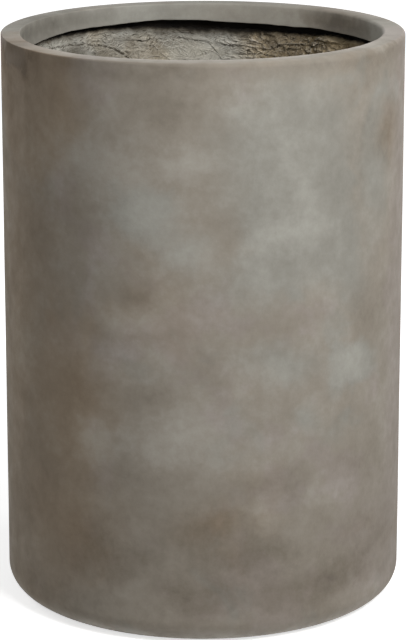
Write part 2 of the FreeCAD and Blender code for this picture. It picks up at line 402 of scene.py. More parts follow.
def noise_at(x, y, seed):
    """Smooth two-dimensional noise, about -0.7 to 0.7, the same on every run."""
    x, y = np.broadcast_arrays(np.asarray(x, float), np.asarray(y, float))
    column = np.floor(x).astype(np.int64)
    row = np.floor(y).astype(np.int64)
    fx = x - column
    fy = y - row

    def corner(dx, dy):
        """The pull of a lattice corner in a direction hashed from its place."""
        value = ((column + dx) * 374761393 + (row + dy) * 668265263 + seed * 69069069) & 0xFFFFFFFF
        value = ((value ^ (value >> 13)) * 1274126177) & 0xFFFFFFFF
        angle = (value ^ (value >> 16)) * (2 * math.pi / 2 ** 32)
        return np.cos(angle) * (fx - dx) + np.sin(angle) * (fy - dy)

    wx = fx ** 3 * (fx * (fx * 6 - 15) + 10)
    wy = fy ** 3 * (fy * (fy * 6 - 15) + 10)
    low = corner(0, 0) * (1 - wx) + corner(1, 0) * wx
    high = corner(0, 1) * (1 - wx) + corner(1, 1) * wx
    return low * (1 - wy) + high * wy


def layered_noise(x, y, layers, seed=0):
    """Noise added up from layers (height, length along x, length along y, seed)."""
    return sum(high * noise_at(x / wide, y / tall, seed + own) for high, wide, tall, own in layers)


def ridged_noise(x, y, power, seed):
    """Ridges along the still lines of a noise, sharper with a higher power."""
    return (1 - 2 * np.abs(noise_at(x, y, seed))) ** power


def ease(low, high, value):
    """0 below low, 1 above high and a smooth rise between."""
    t = np.clip((value - low) / (high - low), 0, 1)
    return t * t * (3 - 2 * t)


def along_trim(trim, degrees):
    """The value of a hand-trimmed edge (angle, value) at angles in degrees."""
    return np.interp(np.mod(degrees, 360), [a for a, _ in trim], [v for _, v in trim])


def turn_between(degrees, centre):
    """The turn from a centre to an angle, the short way round."""
    return np.mod(degrees - centre + 180, 360) - 180


def away_from(degrees, level, centre, middle, wide, tall):
    """The squared distance from a place on the lining, in its half widths and half heights."""
    return (turn_between(degrees, centre) / wide) ** 2 + ((level - middle) / tall) ** 2


def arc(centre, radius, start_deg, end_deg, steps):
    """Points (radius, level) along an arc of a section."""
    turn = np.radians(np.linspace(start_deg, end_deg, steps))
    return [(centre[0] + radius * math.cos(t), centre[1] + radius * math.sin(t)) for t in turn]


def on_axis(radius, angle, level):
    """Points at a radius, an angle and a level."""
    return np.stack([radius * np.cos(angle), radius * np.sin(angle), level], -1)


def strip_faces(rows, columns, wrap_rows=False, wrap_columns=False):
    """Quads of a grid whose points are numbered row by row."""
    i = np.arange(rows if wrap_rows else rows - 1)
    j = np.arange(columns if wrap_columns else columns - 1)
    i, j = np.meshgrid(i, j, indexing="ij")
    up = (i + 1) % rows
    on = (j + 1) % columns
    quads = np.stack([i * columns + j, i * columns + on, up * columns + on, up * columns + j], -1)
    return quads.reshape(-1, 4).tolist()


def new_object(name, data):
    """A new object in the scene that holds some data."""
    thing = bpy.data.objects.new(name, data)
    bpy.context.scene.collection.objects.link(thing)
    return thing


def add_piece(name, points, faces, material, node, marks, sharp_deg=SHARP_DEG):
    """A piece of the pot that stands for a CAD node, with its marks: named values at each point."""
    mesh = bpy.data.meshes.new(name)
    mesh.from_pydata((np.asarray(points) * MM).tolist(), [], faces)
    mesh.polygons.foreach_set("use_smooth", [True] * len(mesh.polygons))
    mesh.set_sharp_from_angle(angle=math.radians(sharp_deg))
    for mark, values in marks.items():
        mesh.attributes.new(mark, "FLOAT", "POINT").data.foreach_set("value", np.asarray(values, np.float32))
    mesh.materials.append(material)
    piece = new_object(name, mesh)
    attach(piece, "pot")
    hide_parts(node)


def add_turned(name, section_at, segments, material, node):
    """A turned piece: section_at(angle) gives its closed section (radius, level) and marks."""
    rings = []
    marks = {}
    for k in range(segments):
        angle = 2 * math.pi * k / segments
        section, section_marks = section_at(angle)
        radius, level = np.array(section).T
        rings.append(on_axis(radius, angle, level))
        for mark, values in section_marks.items():
            marks.setdefault(mark, []).extend(values)
    faces = strip_faces(segments, len(rings[0]), wrap_rows=True, wrap_columns=True)
    add_piece(name, np.concatenate(rings), faces, material, node, marks)


def foot_corners(lift):
    """The foot's corners, raised by lift, from the drain out: hollow, slope and ring."""
    slope = math.radians(FOOT_SLOPE_DEG)
    ring_inside = wall_outside - FOOT_WIDTH - lift * math.tan(slope / 2)
    hollow_edge = ring_inside - FOOT_HOLLOW / math.tan(slope)
    return [(DRAIN_RADIUS, FOOT_HOLLOW + lift), (hollow_edge, FOOT_HOLLOW + lift), (ring_inside, lift)]


def bottom_round(inset, steps):
    """The round of the bottom's edge, from the foot up, set in from the outside."""
    middle = (wall_outside - BOTTOM_EDGE_ROUND, BOTTOM_EDGE_ROUND)
    return arc(middle, BOTTOM_EDGE_ROUND - inset, -90, 0, steps)


def lip_end(angle):
    """The level of the lip's lower edge at an angle, with the small steps of the knife."""
    degrees = math.degrees(angle)
    steps = KNIFE_MARK * noise_at(degrees / KNIFE_STROKE_DEG, 0.5, 11)
    return rim_top - (along_trim(LIP_TRIM, degrees) + steps)


def mouth_at(angle):
    """The radius of the mouth at an angle."""
    return mouth_radius - MOUTH_NARROW - MOUTH_SHIFT * math.cos(angle)


def rise_over(start, end, steps):
    """A smooth rise between two shares of a number of steps."""
    return ease(start, end, np.linspace(0, 1, steps))


def coat_section(angle):
    """The face coat's section: foot, wall, rim, lip and inside, with its marks, among them painted light and
    painted shade.
    """
    degrees = math.degrees(angle)
    outer_round = along_trim(RIM_OUTER_ROUND, degrees)
    inner_round = RIM_INNER_ROUND + RIM_INNER_SWING * math.cos(angle)
    top = rim_top + along_trim(RIM_LEVEL, degrees)
    mouth = mouth_at(angle)
    edge = lip_end(angle)
    levels = np.linspace(BOTTOM_EDGE_ROUND, top - outer_round, COAT_ROWS)[1:-1]
    up = levels / WALL_SWAY_LENGTH
    sway = WALL_SWAY * noise_at(3 * math.cos(angle) + 7, up + 2 * math.sin(angle), 3)
    rim_outer = arc((wall_outside - outer_round, top - outer_round), outer_round, 0, 90, RIM_OUTER_STEPS)
    rim_inner = arc((mouth + inner_round, top - inner_round), inner_round, 90, 180, RIM_INNER_STEPS)
    edge_middle = (mouth + LIP_EDGE_ROUND, edge + LIP_EDGE_ROUND)
    lip_edge = arc(edge_middle, LIP_EDGE_ROUND, 180, 270, LIP_EDGE_STEPS)
    hook = [(mouth + skin, edge), (mouth + skin, rim_underside), (skin_inside, rim_underside)]
    inside = foot_corners(skin) + bottom_round(skin, FOOT_INSIDE_STEPS)
    # Painted light: the foot's round is made paler, most at its lowest, for light bounced up off the floor
    foot_painted_light = FOOT_PAINTED_LIGHT * rise_over(0.1, 0.7, FOOT_STEPS)[::-1]
    crown = rise_over(0.4, 1.0, RIM_OUTER_STEPS)
    outer_wear = along_trim(RIM_WEAR, degrees) * crown
    even, right, back, least = INNER_WEAR
    inner_wear = np.clip(even + right * math.cos(angle) + back * math.sin(angle), least, 1)
    lip = rise_over(0.2, 0.9, RIM_INNER_STEPS)
    stretches = (
        (foot_corners(0.0), 0, 0, 0, 0),
        (bottom_round(0.0, FOOT_STEPS), foot_painted_light, 0, 0, 0),
        (list(zip(wall_outside + sway, levels)), 0, 0, 0, 0),
        (rim_outer, outer_wear, crown, 0, 0),
        (rim_inner, inner_wear, 1, 0, lip),
        ([(mouth, top - depth) for depth in LIP_ROWS], 0, 1, 0, 1),
        (lip_edge, LIP_EDGE_WEAR, 1, 0, 1),
        # Painted shade: the hook under the lip and the inside are marked to be near-black
        (hook + inside[::-1], 0, 1, 1, 0),
    )
    section = []
    marks = {"wear_and_foot_light": [], "crown": [], "painted_recess_shade": [], "lip": []}
    for points, *values in stretches:
        section += points
        for name, value in zip(marks, values):
            marks[name].extend(np.broadcast_to(value, len(points)))
    return section, marks


def fill_section(angle):
    """The mortar in the hook of the rim, a little short of the lip's trimmed edge."""
    under = lip_end(angle) + FILL_SETBACK + noise_at(angle * 9, 1.5, 5)
    inner = mouth_at(angle) + skin
    section = [(inner, under), (skin_inside, under), (skin_inside, rim_underside), (inner, rim_underside)]
    # Painted shade: the whole fill is marked to be near-black
    return section, {"painted_recess_shade": [1] * len(section)}


def trowelled(angle, radius, seed):
    """How far mortar laid by hand stands off its level."""
    return layered_noise(radius * math.cos(angle), radius * math.sin(angle), TROWEL_MARKS, seed)


def slab_section(angle):
    """The floor's section: it fills the foot, and its top is uneven away from the drain."""
    radius = np.linspace(skin_inside, DRAIN_RADIUS, SLAB_STEPS)
    start, end = EVEN_ROUND_DRAIN
    uneven = ease(DRAIN_RADIUS + start, DRAIN_RADIUS + end, radius)
    level = floor_top + trowelled(angle, radius, 51) * uneven
    section = foot_corners(skin) + bottom_round(skin, FOOT_INSIDE_STEPS) + list(zip(radius, level))
    return section, {"painted_recess_shade": [0] * len(section)}


def cove_section(angle):
    """The mortar fillet between floor and wall, smoothed by hand."""
    wide = cove + (5 * noise_at(angle * 3, 2.5, 61) + 2 * noise_at(angle * 11, 3.5, 62))
    wall = mat_inside + COVE_IN_WALL
    foot = floor_top - COVE_IN_FLOOR
    sweep = np.radians(np.linspace(0, -90, COVE_STEPS))
    radius = wall - wide + wide * np.cos(sweep)
    level = floor_top + wide + wide * np.sin(sweep)
    rough = trowelled(angle, radius + level, 63) * np.sin(-2 * sweep)
    section = [(wall, foot)] + list(zip(radius - rough, level + rough)) + [(wall - wide, foot)]
    return section, {"painted_recess_shade": [0] * len(section)}


def scrap_relief(degrees, level):
    """The rise of the torn scraps on the lining, and the painted shade along the feet of their edges."""
    rise = 0.0
    crease_shade = 0.0
    ragged = layered_noise(degrees, level, SCRAP_RAGGED)
    torn = layered_noise(degrees, level, SCRAP_TORN)
    rubbed = ease(-0.2, 0.25, noise_at(degrees / 6, level / 15, 78))
    for centre, middle, wide, tall, thick, wander in SCRAPS:
        far = ease(0.25 * wide, 0.6 * wide, turn_between(degrees, centre))
        low = ease(0, 0.5 * tall, middle - level)
        loose = wander + (SCRAP_LOOSEST - wander) * np.maximum(far, low)
        inside = 1 - away_from(degrees, level, centre, middle, wide, tall) + ragged + loose * torn
        rise = np.maximum(rise, thick * ease(0, 0.09, inside))
        crease_shade = np.maximum(crease_shade, (1 - loose * rubbed) * np.exp(-((inside + 0.04) / 0.055) ** 2))
    return rise, crease_shade


def curve_points(first, pull, last, steps):
    """Points along a curve from first to last that bends towards pull."""
    share = np.linspace(0, 1, steps)[:, None]
    first, pull, last = np.array((first, pull, last))
    return (1 - share) ** 2 * first + 2 * share * (1 - share) * pull + share ** 2 * last


def fold_relief(degrees, level):
    """The rise of the folds and grooves, and the painted shade below the folds and along the grooves."""
    rise = 0.0
    crease_shade = 0.0
    reach = math.radians(1) * mat_inside
    wobble = layered_noise(degrees, level, FOLD_WOBBLE)
    strength = 0.75 + 0.7 * noise_at(degrees / 2.1, level / 7, 74)
    for first, pull, last, high, half_width in FOLDS:
        x = turn_between(degrees, pull[0]) * reach
        places = curve_points(first, pull, last, FOLD_STEPS)
        places[:, 0] = (places[:, 0] - pull[0]) * reach
        nearest = np.inf
        across = 0.0
        along = 0.0
        for k, (start, end) in enumerate(zip(places, places[1:])):
            run = end - start
            share = np.clip(((x - start[0]) * run[0] + (level - start[1]) * run[1]) / (run @ run), 0, 1)
            above = level - start[1] - share * run[1]
            away = np.hypot(x - start[0] - share * run[0], above)
            closer = away < nearest
            nearest = np.where(closer, away, nearest)
            across = np.where(closer, away * np.sign(above), across)
            along = np.where(closer, (k + share) / (FOLD_STEPS - 1), along)
        taper = np.clip(1 - (2 * along - 1) ** 4, 0, 1)
        across = across + wobble
        body = high * taper * np.exp(-(across / half_width) ** 2)
        rise = np.where(np.abs(body) > np.abs(rise), body, rise)
        drop = FOLD_SHADE_DROP * half_width if high > 0 else 0.0
        crease_shade = np.maximum(crease_shade, strength * taper * np.exp(-((across + drop) / FOLD_SHADE_WIDTH) ** 2))
    return rise, crease_shade


def relief(degrees, level, seed):
    """How far the lining stands in from its even sheet, and how dark its creases are painted as shade."""
    level = level - DATUM
    along = np.radians(degrees) * mat_inside
    bend_x = along + BEND * noise_at(along / BEND_LENGTH, level / BEND_LENGTH, seed + 1)
    bend_z = level + BEND * noise_at(along / BEND_LENGTH + 17, level / BEND_LENGTH, seed + 2)
    rough = 0.25 + 0.75 * ease(-0.3, 0.1, noise_at(along / 60 + 3, level / 44, seed + 4))
    for place in CALM_PLACES:
        rubbed = 1 - ease(0.5, 1.3, away_from(degrees, level, *place))
        rough = rough * (1 - (1 - CALM_SHARE) * rubbed)
    for *place, gain in CRUMPLED_PLACES:
        rough = rough + gain * (1 - ease(0.4, 1.3, away_from(degrees, level, *place)))
    swell = 1.2 * noise_at(along / 52, level / 46, seed + 3)
    creases = 0.9 * ridged_noise(bend_x / 15, bend_z / 8, 4, seed + 5)
    cross = 0.8 * ridged_noise((bend_x + bend_z) / 12, (bend_x - bend_z) / 14, 5, seed + 6)
    fine = 0.8 * ridged_noise(bend_x / 6, bend_z / 4, 3, seed + 7)
    grit = 0.6 * noise_at(along / 2.4, level / 2.2, seed + 8)
    scraps, scrap_creases = scrap_relief(degrees, level)
    folds, fold_creases = fold_relief(degrees, level)
    bumps = swell + (creases + cross + fine + grit) * rough + scraps + folds
    return bumps, np.maximum(scrap_creases, fold_creases)


def mat_ends(start, level, seed):
    """Where a mat's even sheet and its torn lap end at each level."""
    end = start + MAT_TURN
    torn = layered_noise(level - DATUM, 0.5, LAP_TORN, seed)
    lean = LAP_LEAN * np.expm1((level - mat_top) / LAP_LEAN_REACH)
    return end, end + (LAP + torn + lean) / mat_inside


def mat_surface(angle, level, start, seed):
    """The radius of a mat's inner face, its relief and the painted shade of its creases."""
    end, lap_end = mat_ends(start, np.clip(level, floor_top, mat_top), seed)
    step = LAP_RAMP / mat_inside
    feather = LAP_FEATHER / mat_inside
    lifted = ease(end - 1.4 * step, end - 0.4 * step, angle)
    lifted = lifted * (1 - ease(lap_end - feather, lap_end, angle))
    bumps, creases = relief(np.degrees(angle), level, seed)
    return mat_inside - LAP_RISE * lifted - bumps, bumps, creases


def mat_edge(degrees):
    """The level of the lining's upper edge."""
    return DATUM + along_trim(MAT_TRIM, degrees)


def strand_tubes(angle, level, lift, half_width, start, seed):
    """Flat bent tubes along rows of places on a mat, lifted off it."""
    radius = mat_surface(angle, level, start, seed)[0] - lift
    middle = on_axis(radius, angle, level)
    run = np.gradient(middle, axis=1)
    run /= np.linalg.norm(run, axis=2, keepdims=True)
    inwards = -on_axis(1.0, angle, np.zeros_like(angle))
    aside = np.cross(run, inwards)
    aside /= np.linalg.norm(aside, axis=2, keepdims=True)
    corners = []
    for turn in np.arange(STRAND_SIDES) * 2 * math.pi / STRAND_SIDES:
        outwards = math.cos(turn) * aside + STRAND_FLATNESS * math.sin(turn) * inwards
        corners.append(middle + half_width[..., None] * outwards)
    return np.stack(corners, 2).reshape(-1, 3)


def pointed(least):
    """A strand's share of its width along it, and the least at its ends."""
    return np.sqrt(np.clip(1 - STRAND_PLACES ** 4, least, 1))


def chopped_strands(start, seed, count, lowest, length, width):
    """Short strands of glass strewn over a mat, whose ends sink into it."""
    draw = np.random.default_rng(seed)
    sheet = mat_inside * MAT_TURN + LAP
    along = draw.uniform(4, sheet - 14, (count, 1))
    level = draw.uniform(DATUM + lowest, mat_top - 2, (count, 1))
    heading = draw.normal(*STRAND_HEADING, (count, 1))
    turn = heading + draw.normal(0, STRAND_BEND, (count, 1)) * STRAND_PLACES / 2
    reach = draw.uniform(*length, (count, 1))
    along = along + np.cumsum(np.cos(turn), 1) * reach / STRAND_STEPS - reach / 2 * np.cos(heading)
    level = level + np.cumsum(np.sin(turn), 1) * reach / STRAND_STEPS - reach / 2 * np.sin(heading)
    angle = start + np.clip(along, 1, sheet - 8) / mat_inside
    level = np.clip(level, floor_top + 2, mat_edge(np.degrees(angle)) + 1.0)
    half_width = draw.uniform(*width, (count, 1)) * pointed(0.04)
    arch = draw.uniform(0.0, 1.0, (count, 1)) ** 3 * STRAND_ARCH * (1 - STRAND_PLACES ** 2)
    lift = arch + STRAND_LIFT - STRAND_SINK * STRAND_PLACES ** 6
    return strand_tubes(angle, level, lift, half_width, start, seed)


def laid_strands(start, seed):
    """The long strands that belong to one mat, or to its lap."""
    first_deg = math.degrees(start + LAP / mat_inside)
    curves = []
    widths = []
    for first, pull, last, half_width in LAID_STRANDS:
        if (pull[0] - first_deg) % 360 < MAT_TURN_DEG:
            curves.append(curve_points(first, pull, last, STRAND_STEPS))
            widths.append(half_width * pointed(0.05))
    if not curves:
        return np.zeros((0, 3))
    angles, levels = np.moveaxis(np.array(curves), 2, 0)
    lift = LAID_LIFT * (1 - STRAND_PLACES ** 4)
    return strand_tubes(np.radians(angles), DATUM + levels, lift, np.array(widths), start, seed)


def strand_faces(count, first):
    """Faces of closed strand tubes, numbered strand by strand and step by step."""
    tube = [quad[::-1] for quad in strip_faces(STRAND_STEPS, STRAND_SIDES, wrap_columns=True)]
    last_ring = (STRAND_STEPS - 1) * STRAND_SIDES
    tube.append(list(range(STRAND_SIDES)))
    tube.append([last_ring + k for k in reversed(range(STRAND_SIDES))])
    points = STRAND_STEPS * STRAND_SIDES
    return [[first + n * points + k for k in face] for n in range(count) for face in tube]


def sheet_faces(rows, columns, back_rows):
    """Faces of a mat's closed sheet: inner face, coarser back and the edges between."""
    low = rows * columns
    high = low + (len(back_rows) - 1) * columns
    top = low - columns
    faces = [quad[::-1] for quad in strip_faces(rows, columns)]
    faces += [[low + k for k in quad] for quad in strip_faces(len(back_rows), columns)]
    for j in range(columns - 1):
        faces.append([low + j, j, j + 1, low + j + 1])
        faces.append([high + j, high + j + 1, top + j + 1, top + j])
    for edge, flip in ((0, False), (columns - 1, True)):
        side = []
        for k, (below, above) in enumerate(zip(back_rows, back_rows[1:])):
            here = low + k * columns + edge
            side += [[here, (i + 1) * columns + edge, i * columns + edge] for i in range(below, above)]
            side.append([here, here + columns, above * columns + edge])
        faces += [face[::-1] for face in side] if flip else side
    return faces


def sheet_mesh(start, seed):
    """A mat's closed sheet: points, faces, and the relief and painted shade of creases at each point."""
    high_share = np.linspace(HIGH_ROWS_FROM, 1, MAT_HIGH_ROWS)[1:]
    share = np.append(np.linspace(0, HIGH_ROWS_FROM, MAT_LOW_ROWS), high_share)
    end, lap_end = mat_ends(start, floor_top + share * (mat_top - floor_top), seed)
    angle = start + np.linspace(0, 1, MAT_COLUMNS)[None, :] * (lap_end[:, None] - start)
    degrees = np.degrees(angle)
    torn = 1.6 * noise_at(degrees / 5, 0.3, seed + 30)
    torn = torn + 1.8 * noise_at(degrees / 1.5, 0.7, seed + 31)
    level = floor_top + share[:, None] * (mat_edge(degrees) + torn - floor_top)
    radius, bumps, creases = mat_surface(angle, level, start, seed)
    front = on_axis(radius, angle, level).reshape(-1, 3)
    rows = len(share)
    back_rows = list(range(0, rows - 1, MAT_BACK_STEP)) + [rows - 1]
    back_radius = np.where(angle[back_rows] < end, skin_inside - MAT_BACK_GAP, mat_inside + LAP_BACK_SINK)
    back = on_axis(back_radius, angle[back_rows], level[back_rows]).reshape(-1, 3)
    faces = sheet_faces(rows, MAT_COLUMNS, back_rows)
    plain = np.zeros(len(back))
    return np.concatenate([front, back]), faces, np.append(bumps, plain), np.append(creases, plain)


def add_mat(side, start_deg, seed):
    """One mat of the lining: a crumpled sheet with ragged edges and loose strands."""
    start = math.radians(start_deg)
    sheet, faces, bumps, creases = sheet_mesh(start, seed)
    points = [sheet, laid_strands(start, seed)]
    for layer, strands in enumerate(CHOPPED_STRANDS):
        points.append(chopped_strands(start, seed + layer, *strands))
    points = np.concatenate(points)
    strand_size = len(points) - len(sheet)
    faces += strand_faces(strand_size // (STRAND_STEPS * STRAND_SIDES), len(sheet))
    degrees = np.degrees(np.arctan2(points[:, 1], points[:, 0]))
    level = points[:, 2] - DATUM
    # Painted shadow of the lip: it fades in from a depth under the lining's torn edge, with a ragged lower
    # edge
    below = along_trim(MAT_TRIM, degrees) - level + layered_noise(degrees, level, LIP_SHADOW_RAGGED, seed)
    marks = {
        "relief": np.clip(np.append(bumps, np.full(strand_size, STRAND_RELIEF)) / FULL_RELIEF, 0, 1),
        "crease_shade": np.append(creases, np.zeros(strand_size)),
        "along": turn_between(degrees, start_deg + MAT_TURN_DEG / 2) * math.radians(1) * mat_inside * MM,
        "shade": np.clip(1 - below / along_trim(LIP_SHADOW_TRIM, degrees), 0, 1),
    }
    name = f"lining_{side}"
    add_piece(name, points, faces, lining_material, f"wall_mat_{side}", marks, MAT_SHARP_DEG)


# Materials

def feed(node, values):
    """Fill a node's inputs, by number or name, with links to sockets or with values."""
    for key, value in values.items():
        if isinstance(value, bpy.types.NodeSocket):
            node.id_data.links.new(value, node.inputs[key])
        else:
            node.inputs[key].default_value = value


def add_node(tree, kind, values=None, **settings):
    """A new node of a tree, with its inputs and settings."""
    node = tree.nodes.new("ShaderNode" + kind)
    for name, setting in settings.items():
        setattr(node, name, setting)
    feed(node, values or {})
    return node


def joined(kind, *values, **settings):
    """A new node fed in order with values, in the tree of the sockets among them."""
    tree = next(v.id_data for v in values if isinstance(v, bpy.types.NodeSocket))
    return add_node(tree, kind, dict(enumerate(values)), **settings)


def number(operation, *values):
    """A number worked out from others."""
    return joined("Math", *values, operation=operation).outputs["Value"]


def plus(total, value, factor):
    """A total plus a value times a factor."""
    return number("MULTIPLY_ADD", value, factor, total)


def vector(operation, *values):
    """A vector worked out from others."""
    return joined("VectorMath", *values, operation=operation).outputs["Vector"]


def axis(coords, name):
    """One axis of coordinates."""
    return joined("SeparateXYZ", coords).outputs[name]


def noise(coords, scale, detail=3, roughness=0.5, distortion=0, output="Fac"):
    """A noise over coordinates in metres, about 0.3 to 0.7."""
    values = dict(Vector=coords, Scale=scale, Detail=detail, Roughness=roughness, Distortion=distortion)
    return add_node(coords.id_data, "TexNoise", values).outputs[output]


def mapped(value, low, high, to_low=0, to_high=1):
    """A value mapped from one range to another with a smooth rise."""
    node = joined("MapRange", value, low, high, to_low, to_high, interpolation_type="SMOOTHSTEP")
    return node.outputs["Result"]


def uneven(coords, scale, detail, low, high):
    """A value that varies from low to high over a surface."""
    return mapped(noise(coords, scale, detail), 0.3, 0.7, low, high)


def mixed(factor, first, second):
    """Two colours mixed by a factor."""
    values = {0: factor, 6: first, 7: second}
    return add_node(factor.id_data, "Mix", values, data_type="RGBA").outputs[2]


def layered(colour, layers):
    """A colour under layers (value, where it starts, where it is full, most, colour)."""
    for value, start, full, most, over in layers:
        colour = mixed(mapped(value, start, full, 0, most), colour, over)
    return colour


def mark(coords, name):
    """A named value of the mesh's points."""
    return add_node(coords.id_data, "Attribute", attribute_name=name).outputs["Fac"]


def ramp(value, stops):
    """A colour ramp through stops (place, colour)."""
    node = joined("ValToRGB", value)
    elements = node.color_ramp.elements
    while len(elements) < len(stops):
        elements.new(0.5)
    for element, (place, colour) in zip(elements, stops):
        element.position = place
        element.color = colour
    return node.outputs["Color"]


def bump(height, strength, distance):
    """A surface's direction, bumped by a height."""
    values = dict(Height=height, Strength=strength, Distance=distance)
    return add_node(height.id_data, "Bump", values).outputs["Normal"]


def placed(coords, centre, turn, size):
    """Coordinates from a centre, turned about the vertical and in units of a size."""
    return joined("Mapping", coords, centre, (0, 0, turn), size, vector_type="TEXTURE").outputs["Vector"]


def clouds(coords, places, radius, total=0):
    """Soft clouds added up: each fades out from its centre on a wall of a radius."""
    for angle, level, half_width, half_height, strength in places:
        turn = math.radians(angle)
        centre = Vector((math.sin(turn) * radius, -math.cos(turn) * radius, level)) * MM
        size = Vector((half_width, CLOUD_DEPTH, half_height)) * (CLOUD_REACH * MM)
        here = placed(coords, centre, turn, size)
        fade = joined("TexGradient", here, gradient_type="SPHERICAL").outputs["Fac"]
        total = plus(total, fade, strength * CLOUD_GAIN)
    return total


def new_material(name):
    """A material, its principled shader and the part's own coordinates, from the datum up."""
    material = bpy.data.materials.new(name)
    material.use_nodes = True
    tree = material.node_tree
    coords = add_node(tree, "TexCoord").outputs["Object"]
    return material, tree.nodes["Principled BSDF"], vector("SUBTRACT", coords, (0, 0, DATUM * MM))


def grey(value):
    """A grey colour."""
    return (value, value, value, 1)


def tint(brightness, red, blue):
    """A colour from its brightness and its red and blue as shares of its green."""
    green = brightness / (0.2126 * red + 0.7152 + 0.0722 * blue)
    return (green * red, green, green * blue, 1)


def face_tone(coords, loose):
    """How pale the face is: clouds, mottling, and shade under the rim and low down."""
    tone = clouds(loose, TONE_CLOUDS, wall_outside)
    tone = clouds(loose, LIP_CLOUDS, mouth_radius, tone)
    tone = plus(tone, clouds(loose, LIP_SHADES, mouth_radius), mark(coords, "lip"))
    behind = mapped(axis(coords, "Y"), -0.07, 0.07, 0.35, 1.5)
    tone = plus(tone, number("SUBTRACT", noise(coords, 9, 5, 0.55, 0.5), 0.5), behind)
    for scale, depth in MOTTLING:
        tone = plus(tone, number("SUBTRACT", noise(coords, scale, 4, 0.6), 0.5), depth)
    level = axis(coords, "Z")
    start, end, shade = UNDER_RIM
    high = mapped(level, (rim_top - DATUM - start) * MM, (rim_top - DATUM - end) * MM)
    under_rim = number("MULTIPLY", high, number("SUBTRACT", 1, mark(coords, "crown")))
    tone = plus(tone, under_rim, shade)
    height, shade = NEAR_FLOOR
    return plus(tone, mapped(level, -DATUM * MM, (height - DATUM) * MM, 1, 0), shade)


def make_face_material():
    """Mottled cement: warm, with rosier, cooler and browner clouds, edges rubbed paler, painted light on the
    foot and painted shade inside.
    """
    material, shader, coords = new_material("face_cement")
    drift = vector("SUBTRACT", noise(coords, 17, 5, 0.65, output="Color"), (0.5, 0.5, 0.5))
    loose = vector("MULTIPLY_ADD", drift, CLOUD_DRIFT, coords)
    place = plus(FACE_MIDDLE, face_tone(coords, loose), FACE_CONTRAST)
    ramps = {}
    for name, hues in FACE_HUES.items():
        ramps[name] = ramp(place, [(at, tint(brightness, *hues[hue])) for at, brightness, hue in FACE_STOPS])
    colour = ramps["warm"]
    for name, places, patches, patch_range, sum_range in HUE_LAYERS:
        share = mapped(noise(coords, *patches), *patch_range)
        share = mapped(clouds(loose, places, wall_outside, share), *sum_range)
        colour = mixed(share, colour, ramps[name])
    lip_colour = mixed(clouds(loose, LIP_BROWN, mouth_radius), ramps["cool"], ramps["brown"])
    colour = mixed(mark(coords, "lip"), colour, lip_colour)
    # Edges rubbed paler, and painted light on the foot's round for light bounced up off the floor
    rubbed = mapped(noise(coords, 40, 4, 0.6), 0.35, 0.6, 0.45, 0.95)
    wear_and_lit_foot = number("MULTIPLY", mark(coords, "wear_and_foot_light"), rubbed)
    colour = mixed(wear_and_lit_foot, colour, tint(0.5, 1.07, 0.9))
    # Painted shade: near-black for the hook under the lip and the hidden inside
    recess_shade_noise = mapped(noise(coords, 40, 4, 0.6), 0.35, 0.7)
    painted_recess_shade = mixed(recess_shade_noise, tint(0.004, 1.4, 0.6), tint(0.009, 1.4, 0.6))
    grain = plus(noise(coords, 520, 3, 0.6), noise(coords, 90), 1.5)
    feed(shader, {
        "Base Color": mixed(mark(coords, "painted_recess_shade"), colour, painted_recess_shade),
        "Roughness": uneven(coords, 48, 4, 0.72, 0.9),
        "Specular IOR Level": CEMENT_SPECULAR,
        "Normal": bump(grain, 0.12, 0.001),
    })
    return material


def fibre_streaks(coords):
    """Fine streaks along a mat, which lean one way here and the other way there."""
    flat = joined("CombineXYZ", mark(coords, "along"), axis(coords, "Z")).outputs["Vector"]
    bent = vector("MULTIPLY_ADD", noise(flat, 60, 2, output="Color"), (0.012, 0.012, 0), flat)
    one_way = placed(bent, (0, 0, 0), -0.5, (0.007, 0.0011, 1))
    other_way = placed(bent, (0.1, 0.1, 0), 0.35, (0.008, 0.0012, 1))
    share = mapped(noise(flat, 26, 2), 0.48, 0.58)
    values = {0: share, 2: noise(one_way, 1, 2), 3: noise(other_way, 1, 2)}
    return add_node(share.id_data, "Mix", values).outputs[0]


def fine_cracks(coords, soiled):
    """Fine cracks, most of them where the mat is soiled."""
    bent = vector("MULTIPLY_ADD", noise(coords, 45, output="Color"), (0.03, 0.03, 0.03), coords)
    away = number("ABSOLUTE", number("SUBTRACT", noise(bent, 80, 1), 0.5))
    near = mapped(away, 0, 0.016, 1, 0)
    return number("MULTIPLY", near, mapped(soiled, 0, 0.8, 0.15, 0.9))


